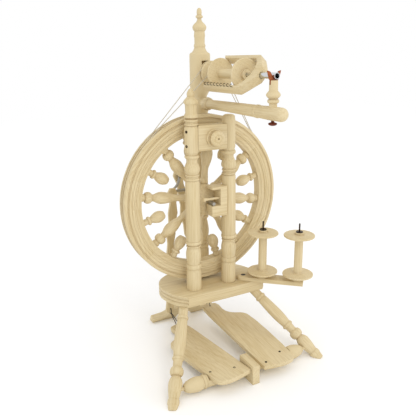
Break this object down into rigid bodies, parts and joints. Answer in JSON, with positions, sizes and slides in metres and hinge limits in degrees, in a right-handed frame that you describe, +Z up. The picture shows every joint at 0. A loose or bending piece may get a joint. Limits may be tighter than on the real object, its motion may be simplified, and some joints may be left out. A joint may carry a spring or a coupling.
{
  "type": "spinning wheel",
  "caption": "Upright double-treadle spinning wheel in unfinished pale wood, with turned posts and spokes, a flyer above the wheel and a swing-out bobbin rack.",
  "frame": {"origin": "On the floor, under the middle of the whole object's box", "axes": "+Z up; the spinner sits at -Y and faces +Y; the wheel's axle runs along Y; +X is the side of the bobbin rack"},
  "size_m": [0.4798, 0.4926, 0.911],
  "materials": {
    "pale_wood": "unfinished, sanded",
    "dark_wood": "stained",
    "steel": "bright drawn",
    "polished_steel": "polished",
    "dark_steel": "dark oiled",
    "leather": "matt",
    "thong": "matt",
    "cord": "spun cotton"
  },
  "bodies": {
    "stand": {"table": "pale_wood", "front_leg_left": "pale_wood", "front_leg_right": "pale_wood", "rear_foot": "pale_wood", "front_post_left": "pale_wood", "front_post_right": "pale_wood", "crossbar": "pale_wood", "front_bearing_block": "pale_wood", "rear_post": "pale_wood", "rear_bearing_block": "pale_wood", "centre_foot": "pale_wood", "rack_bolt": "dark_steel", "drive_band_flyer": "cord", "drive_band_bobbin": "cord"},
    "peg": {"keeper_peg": "pale_wood"},
    "knob": {"crossbar_knob": "pale_wood"},
    "wheel": {"wheel_rim": "pale_wood", "wheel_hub": "pale_wood", "crank_axle": "steel", "long_spoke_1": "pale_wood", "long_spoke_2": "pale_wood", "long_spoke_3": "pale_wood", "long_spoke_4": "pale_wood", "long_spoke_5": "pale_wood", "long_spoke_6": "pale_wood", "long_spoke_7": "pale_wood", "long_spoke_8": "pale_wood", "short_spoke_1": "pale_wood", "short_spoke_2": "pale_wood", "short_spoke_3": "pale_wood", "short_spoke_4": "pale_wood", "short_spoke_5": "pale_wood", "short_spoke_6": "pale_wood", "short_spoke_7": "pale_wood", "short_spoke_8": "pale_wood"},
    "head": {"head_post": "pale_wood", "rear_bearing": "leather", "flyer_arm": "pale_wood", "front_maiden": "pale_wood", "front_leather": "leather", "maiden_lock_knob": "dark_wood"},
    "flyer": {"flyer_shaft": "polished_steel", "flyer_yoke": "pale_wood", "flyer_whorl": "pale_wood"},
    "bobbin": {"flyer_bobbin": "pale_wood"},
    "rack": {"rack_arm": "pale_wood", "rack_pin_1": "dark_steel", "rack_pin_2": "dark_steel"},
    "rack_bobbin_one": {"rack_bobbin_1": "pale_wood"},
    "rack_bobbin_two": {"rack_bobbin_2": "pale_wood"},
    "treadle_left": {"treadle_left": "pale_wood", "treadle_bar_left": "pale_wood"},
    "treadle_right": {"treadle_right": "pale_wood", "treadle_bar_right": "pale_wood"},
    "footman_left": {"footman_left": "pale_wood", "thong_left": "thong"},
    "footman_right": {"footman_right": "pale_wood", "thong_right": "thong"}
  },
  "joints": [
    {"name": "wheel_turn", "type": "hinge", "parent": "stand", "child": "wheel", "pos_m": [-0.0111, 0.08374, 0.421], "axis": [0, -1, 0], "continuous": true},
    {"name": "head_slide", "type": "slide", "parent": "stand", "child": "head", "axis": [0, 0, 1], "range_m": [0, 0.008], "deforming": ["drive_band_flyer", "drive_band_bobbin"]},
    {"name": "flyer_turn", "type": "hinge", "parent": "head", "child": "flyer", "pos_m": [0.0179, 0.08374, 0.75], "axis": [0, -1, 0], "continuous": true},
    {"name": "bobbin_turn", "type": "hinge", "parent": "flyer", "child": "bobbin", "pos_m": [0.0179, 0.04474, 0.75], "axis": [0, -1, 0], "continuous": true},
    {"name": "knob_turn", "type": "hinge", "parent": "stand", "child": "knob", "pos_m": [-0.0081, 0.01674, 0.594], "axis": [0, -1, 0], "range_deg": [-90, 90]},
    {"name": "peg_slide", "type": "slide", "parent": "stand", "child": "peg", "axis": [-1, 0, 0], "range_m": [0, 0.005]},
    {"name": "rack_turn", "type": "hinge", "parent": "stand", "child": "rack", "pos_m": [0.0849, 0.01974, 0.185], "axis": [0, 0, 1], "range_deg": [-65, 40]},
    {"name": "rack_bobbin_one_turn", "type": "hinge", "parent": "rack", "child": "rack_bobbin_one", "pos_m": [0.12503, -0.01639, 0.1976], "axis": [0, 0, 1], "continuous": true},
    {"name": "rack_bobbin_two_turn", "type": "hinge", "parent": "rack", "child": "rack_bobbin_two", "pos_m": [0.19785, -0.08196, 0.1976], "axis": [0, 0, 1], "continuous": true},
    {"name": "treadle_left_turn", "type": "hinge", "parent": "stand", "child": "treadle_left", "pos_m": [-0.0111, -0.14526, 0.022], "axis": [1, 0, 0], "range_deg": [0, 15]},
    {"name": "treadle_right_turn", "type": "hinge", "parent": "stand", "child": "treadle_right", "pos_m": [-0.0111, -0.14526, 0.022], "axis": [1, 0, 0], "range_deg": [-6, 6]},
    {"name": "footman_left_turn", "type": "hinge", "parent": "treadle_left", "child": "footman_left", "pos_m": [-0.0751, 0.17874, 0.02], "axis": [1, 0, 0], "range_deg": [-15, 0], "deforming": ["thong_left"]},
    {"name": "footman_right_turn", "type": "hinge", "parent": "treadle_right", "child": "footman_right", "pos_m": [0.0389, 0.20524, 0.044], "axis": [1, 0, 0], "range_deg": [-6, 6], "deforming": ["thong_right"]}
  ],
  "couplings": [
    {"joint": "flyer_turn", "follows": "wheel_turn", "ratio": 8.567},
    {"joint": "bobbin_turn", "follows": "wheel_turn", "ratio": 4.9028},
    {"joint": "footman_left_turn", "follows": "treadle_left_turn", "ratio": -1},
    {"joint": "footman_right_turn", "follows": "treadle_right_turn", "ratio": -1}
  ]
}
